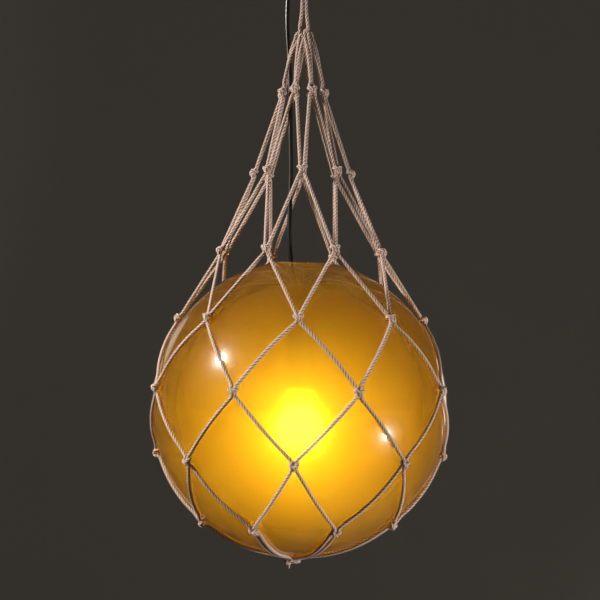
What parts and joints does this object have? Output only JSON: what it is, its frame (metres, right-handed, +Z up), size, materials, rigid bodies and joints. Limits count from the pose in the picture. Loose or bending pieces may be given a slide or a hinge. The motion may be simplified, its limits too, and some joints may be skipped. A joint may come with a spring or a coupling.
{
  "type": "glass float ball pendant lamp",
  "caption": "Hollow amber glass ball with an open mouth and a bulb inside, hanging in a knotted net of twine from a ceiling hook and rose.",
  "frame": {"origin": "middle of the fixing plate's top face, on the ceiling", "axes": "+Z up into the ceiling; the view of the picture looks along +Y, with +X to its right"},
  "size_m": [0.3034, 0.3034, 0.6512],
  "materials": {
    "glass": "amber, glossy outside and satin inside",
    "twine": "laid natural fibre twine",
    "brass": "aged brass",
    "black_plastic": "moulded black plastic",
    "cable": "black sheath",
    "bulb": "opal glass, lit"
  },
  "bodies": {
    "root": {"ceiling_plate": "brass", "ceiling_rose": "brass", "hook": "brass", "cable_grip": "black_plastic", "cable": "cable", "hanging_cord": "twine", "rope_net": "twine", "glass_ball_lower": "glass", "glass_ball_upper": "glass", "lampholder": "black_plastic", "bulb": "bulb"}
  },
  "joints": []
}
